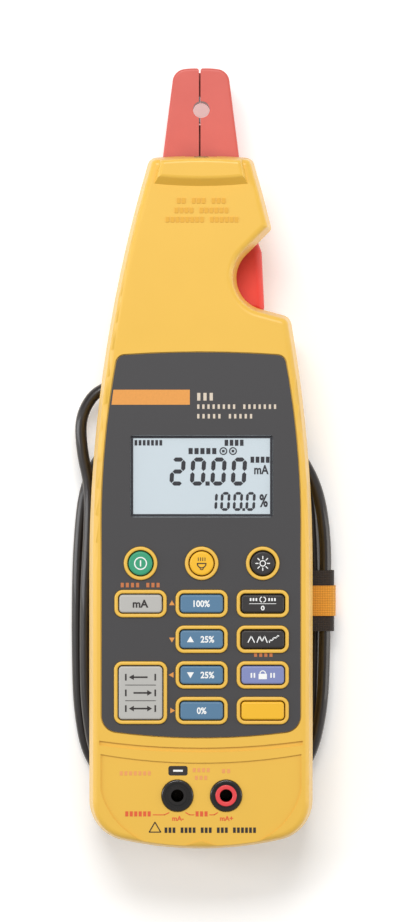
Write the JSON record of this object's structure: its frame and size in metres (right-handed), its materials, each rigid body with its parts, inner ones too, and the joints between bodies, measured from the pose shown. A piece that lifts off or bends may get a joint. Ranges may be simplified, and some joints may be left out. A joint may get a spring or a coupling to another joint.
{
  "type": "process clamp meter",
  "caption": "Handheld milliamp clamp meter on its back: tapered case with display and keypad, sprung clamp jaws in a sliding handpiece, wound extension cable.",
  "frame": {"origin": "under the middle of the meter, on the surface it lies on", "axes": "+X to the reader's right, +Y towards the jaws, +Z out of the front face"},
  "size_m": [0.084, 0.2463, 0.0437],
  "materials": {
    "case_yellow": "fine satin moulding",
    "door_grey": "satin",
    "seal_rubber": "matt",
    "dock_black": "satin",
    "panel_grey": "fine grain",
    "window": "clear, flat",
    "lcd": "smooth",
    "backlight_white": "smooth",
    "key_green": "satin",
    "key_yellow": "satin",
    "key_black": "satin",
    "key_grey": "satin",
    "key_blue": "satin",
    "key_violet": "satin",
    "mat_rubber": "matt",
    "board_green": "solder mask",
    "component_black": "satin",
    "steel": "bright",
    "jack_black": "smooth",
    "jack_red": "smooth",
    "brass": "plated",
    "cell_jacket": "printed film",
    "fastener_grey": "satin",
    "jaw_red": "fine satin moulding",
    "handpiece_yellow": "fine satin moulding",
    "relief_black": "satin",
    "cable_jacket": "glossy",
    "strap_black": "woven",
    "strap_orange": "woven"
  },
  "bodies": {
    "meter": {"front_case": "case_yellow", "rear_case": "case_yellow", "case_seal": "seal_rubber", "dock_plate": "dock_black", "dock_screws": "steel", "control_panel": "panel_grey", "display_window": "window", "display_cell": "lcd", "display_backlight": "backlight_white", "display_frame": "dock_black", "keypad_mat": "mat_rubber", "main_board": "board_green", "board_parts": "component_black", "board_screws": "steel", "case_screws": "steel", "com_jack_housing": "jack_black", "com_jack_contact": "brass", "ma_jack_housing": "jack_black", "ma_jack_contact": "brass", "ma_jack_collar": "jack_red", "battery_cells": "cell_jacket", "battery_springs": "steel", "battery_contacts": "steel", "spotlight_lens": "window", "spotlight_lamp": "backlight_white", "case_strain_relief": "relief_black", "extension_cable": "cable_jacket", "cable_strap": "strap_black", "cable_strap_band": "strap_orange"},
    "handpiece": {"handpiece_back_shell": "handpiece_yellow", "handpiece_front_shell": "handpiece_yellow", "fixed_jaw": "jaw_red", "fixed_core": "steel", "pivot_pin": "steel", "trigger_spring": "steel", "sensor_board": "board_green", "handpiece_screws": "steel", "handpiece_strain_relief": "relief_black"},
    "jaw": {"moving_jaw": "jaw_red", "moving_core": "steel"},
    "door": {"battery_door": "door_grey"},
    "lower_fastener": {"lower_door_fastener": "fastener_grey"},
    "upper_fastener": {"upper_door_fastener": "fastener_grey"},
    "power_key": {"power_key": "key_green"},
    "lamp_key": {"lamp_key": "key_yellow"},
    "backlight_key": {"backlight_key": "key_black"},
    "current_key": {"current_key": "key_grey"},
    "full_scale_key": {"full_scale_key": "key_blue"},
    "step_up_key": {"step_up_key": "key_blue"},
    "step_down_key": {"step_down_key": "key_blue"},
    "zero_scale_key": {"zero_scale_key": "key_blue"},
    "clamp_zero_key": {"clamp_zero_key": "key_black"},
    "ramp_key": {"ramp_key": "key_black"},
    "hold_key": {"hold_key": "key_violet"},
    "blank_key": {"blank_key": "key_yellow"},
    "mode_key": {"mode_key": "key_grey"}
  },
  "joints": [
    {"name": "handpiece_slide", "type": "slide", "parent": "meter", "child": "handpiece", "axis": [0, 1, 0], "range_m": [0, 0.025]},
    {"name": "jaw_pivot", "type": "hinge", "parent": "handpiece", "child": "jaw", "pos_m": [0.006, 0.082, 0.015], "axis": [0, 0, -1], "range_deg": [0, 10], "stiffness_Nm_per_rad": 0.25, "springref_deg": -14.32},
    {"name": "door_lift", "type": "slide", "parent": "meter", "child": "door", "axis": [0, 0, -1], "range_m": [0, 0.015]},
    {"name": "lower_fastener_turn", "type": "hinge", "parent": "door", "child": "lower_fastener", "pos_m": [0, -0.084, 0.001], "axis": [0, 0, -1], "range_deg": [0, 90]},
    {"name": "upper_fastener_turn", "type": "hinge", "parent": "door", "child": "upper_fastener", "pos_m": [0, -0.018, 0.001], "axis": [0, 0, -1], "range_deg": [0, 90]},
    {"name": "power_key_press", "type": "slide", "parent": "meter", "child": "power_key", "axis": [0, 0, -1], "range_m": [0, 0.0008], "stiffness_N_per_m": 300, "springref_m": -0.0015},
    {"name": "lamp_key_press", "type": "slide", "parent": "meter", "child": "lamp_key", "axis": [0, 0, -1], "range_m": [0, 0.0008], "stiffness_N_per_m": 300, "springref_m": -0.0015},
    {"name": "backlight_key_press", "type": "slide", "parent": "meter", "child": "backlight_key", "axis": [0, 0, -1], "range_m": [0, 0.0008], "stiffness_N_per_m": 300, "springref_m": -0.0015},
    {"name": "current_key_press", "type": "slide", "parent": "meter", "child": "current_key", "axis": [0, 0, -1], "range_m": [0, 0.0008], "stiffness_N_per_m": 300, "springref_m": -0.0015},
    {"name": "full_scale_key_press", "type": "slide", "parent": "meter", "child": "full_scale_key", "axis": [0, 0, -1], "range_m": [0, 0.0008], "stiffness_N_per_m": 300, "springref_m": -0.0015},
    {"name": "step_up_key_press", "type": "slide", "parent": "meter", "child": "step_up_key", "axis": [0, 0, -1], "range_m": [0, 0.0008], "stiffness_N_per_m": 300, "springref_m": -0.0015},
    {"name": "step_down_key_press", "type": "slide", "parent": "meter", "child": "step_down_key", "axis": [0, 0, -1], "range_m": [0, 0.0008], "stiffness_N_per_m": 300, "springref_m": -0.0015},
    {"name": "zero_scale_key_press", "type": "slide", "parent": "meter", "child": "zero_scale_key", "axis": [0, 0, -1], "range_m": [0, 0.0008], "stiffness_N_per_m": 300, "springref_m": -0.0015},
    {"name": "clamp_zero_key_press", "type": "slide", "parent": "meter", "child": "clamp_zero_key", "axis": [0, 0, -1], "range_m": [0, 0.0008], "stiffness_N_per_m": 300, "springref_m": -0.0015},
    {"name": "ramp_key_press", "type": "slide", "parent": "meter", "child": "ramp_key", "axis": [0, 0, -1], "range_m": [0, 0.0008], "stiffness_N_per_m": 300, "springref_m": -0.0015},
    {"name": "hold_key_press", "type": "slide", "parent": "meter", "child": "hold_key", "axis": [0, 0, -1], "range_m": [0, 0.0008], "stiffness_N_per_m": 300, "springref_m": -0.0015},
    {"name": "blank_key_press", "type": "slide", "parent": "meter", "child": "blank_key", "axis": [0, 0, -1], "range_m": [0, 0.0008], "stiffness_N_per_m": 300, "springref_m": -0.0015},
    {"name": "mode_key_press", "type": "slide", "parent": "meter", "child": "mode_key", "axis": [0, 0, -1], "range_m": [0, 0.0008], "stiffness_N_per_m": 300, "springref_m": -0.0015}
  ]
}
